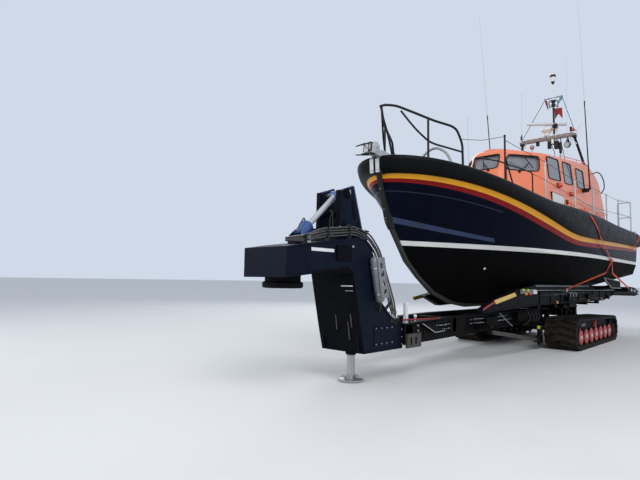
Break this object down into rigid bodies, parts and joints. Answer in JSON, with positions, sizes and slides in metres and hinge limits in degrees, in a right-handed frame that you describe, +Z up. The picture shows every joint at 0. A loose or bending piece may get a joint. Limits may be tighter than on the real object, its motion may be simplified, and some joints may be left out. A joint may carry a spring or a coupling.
{
  "type": "rescue boat on tracked launch carriage",
  "caption": "Water-jet rescue boat with orange wheelhouse and black fender, standing in the turning cradle of its tracked launch carriage.",
  "frame": {"origin": "on the ground, below the middle of the whole length and on the centreline", "axes": "+X to the bow and the towing end, +Y to port, +Z up"},
  "size_m": [19.6, 4.5498, 11.4012],
  "materials": {
    "hull_paint": "dark blue gelcoat over a matt black bottom, with yellow, red and white bands",
    "fender_rubber": "black foam-filled fender skin with a soft sheen",
    "bare_metal": "bare stainless steel",
    "house_paint": "orange gelcoat",
    "window_glass": "tinted safety glass",
    "black_fittings": "black powder coat",
    "seat_trim": "black vinyl seat covers",
    "white_paint": "off-white paint",
    "grey_paint": "grey paint, scuffed",
    "cast_alloy": "cast aluminium",
    "carriage_paint": "black paint with sand and salt",
    "neck_paint": "dark blue gloss paint",
    "track_rubber": "rubber track, dusty with sand",
    "red_paint": "red paint"
  },
  "bodies": {
    "carriage": {"chassis": "carriage_paint", "neck": "neck_paint", "neck_tower": "neck_paint", "neck_ram": "white_paint", "track_port": "track_rubber", "track_starboard": "track_rubber", "bogie_port": "red_paint", "bogie_starboard": "red_paint"},
    "cradle_and_boat": {"cradle": "grey_paint", "tail_roller_front": "fender_rubber", "tail_roller_middle": "fender_rubber", "tail_roller_rear": "fender_rubber", "hull": "hull_paint", "fender": "fender_rubber", "keel_band": "bare_metal", "wheelhouse": "house_paint", "glazing_side_port": "window_glass", "glazing_side_starboard": "window_glass", "glazing_corner_port": "window_glass", "glazing_corner_starboard": "window_glass", "glazing_front": "window_glass", "helm_console": "black_fittings", "seats_front": "seat_trim", "seats_aft": "seat_trim", "mast_beam": "white_paint", "mast_leg_port": "black_fittings", "mast_leg_starboard": "black_fittings", "mast_post": "black_fittings", "mast_stay_port": "bare_metal", "mast_stay_starboard": "bare_metal", "radar_pedestal": "white_paint", "searchlight": "black_fittings", "loudhailer": "white_paint", "aerial_bracket_port": "black_fittings", "aerial_bracket_starboard": "black_fittings", "foredeck_hatch_coaming": "house_paint", "bow_roller": "grey_paint", "foredeck_hoop": "grey_paint", "foredeck_rail_port": "black_fittings", "foredeck_rail_starboard": "black_fittings", "towing_post": "bare_metal", "pulpit_port": "black_fittings", "pulpit_starboard": "black_fittings", "guard_rail_port": "bare_metal", "guard_rail_starboard": "bare_metal", "jet_outlet_port": "cast_alloy", "jet_outlet_starboard": "cast_alloy"},
    "jack": {"parking_jack": "bare_metal"},
    "door": {"aft_door": "house_paint"},
    "hatch": {"foredeck_hatch_lid": "house_paint"},
    "scanner": {"radar_scanner": "white_paint"},
    "whip_port": {"aerial_port": "black_fittings"},
    "whip_starboard": {"aerial_starboard": "black_fittings"},
    "nozzle_port": {"jet_nozzle_port": "cast_alloy"},
    "nozzle_starboard": {"jet_nozzle_starboard": "cast_alloy"},
    "bucket_port": {"jet_bucket_port": "cast_alloy"},
    "bucket_starboard": {"jet_bucket_starboard": "cast_alloy"}
  },
  "joints": [
    {"name": "turntable", "type": "hinge", "parent": "carriage", "child": "cradle_and_boat", "pos_m": [-2.2, 0, 1.09], "axis": [0, 0, 1], "range_deg": [-180, 180]},
    {"name": "jack_lift", "type": "slide", "parent": "carriage", "child": "jack", "axis": [0, 0, 1], "range_m": [0, 0.39]},
    {"name": "door_swing", "type": "hinge", "parent": "cradle_and_boat", "child": "door", "pos_m": [-5.5953, 0.39, 4.5], "axis": [0, 0, -1], "range_deg": [0, 110]},
    {"name": "hatch_lift", "type": "hinge", "parent": "cradle_and_boat", "child": "hatch", "pos_m": [2.98, 0, 4.1203], "axis": [0, -1, 0], "range_deg": [0, 100]},
    {"name": "radar_spin", "type": "hinge", "parent": "cradle_and_boat", "child": "scanner", "pos_m": [-3.48, 0, 7.6], "axis": [0, 0, 1], "continuous": true},
    {"name": "whip_fold_port", "type": "hinge", "parent": "cradle_and_boat", "child": "whip_port", "pos_m": [-2.86, 1.5, 4.95], "axis": [0, -1, 0], "range_deg": [0, 80]},
    {"name": "whip_fold_starboard", "type": "hinge", "parent": "cradle_and_boat", "child": "whip_starboard", "pos_m": [-2.27, -1.5, 4.95], "axis": [0, -1, 0], "range_deg": [0, 80]},
    {"name": "steer_port", "type": "hinge", "parent": "cradle_and_boat", "child": "nozzle_port", "pos_m": [-6.96, 0.85, 2.2], "axis": [0, 0, 1], "range_deg": [-25, 25]},
    {"name": "steer_starboard", "type": "hinge", "parent": "cradle_and_boat", "child": "nozzle_starboard", "pos_m": [-6.96, -0.85, 2.2], "axis": [0, 0, 1], "range_deg": [-25, 25]},
    {"name": "bucket_port", "type": "hinge", "parent": "nozzle_port", "child": "bucket_port", "pos_m": [-7.1, 0.85, 2.2], "axis": [0, -1, 0], "range_deg": [0, 70]},
    {"name": "bucket_starboard", "type": "hinge", "parent": "nozzle_starboard", "child": "bucket_starboard", "pos_m": [-7.1, -0.85, 2.2], "axis": [0, -1, 0], "range_deg": [0, 70]}
  ],
  "couplings": [
    {"joint": "steer_starboard", "follows": "steer_port", "ratio": 1}
  ]
}
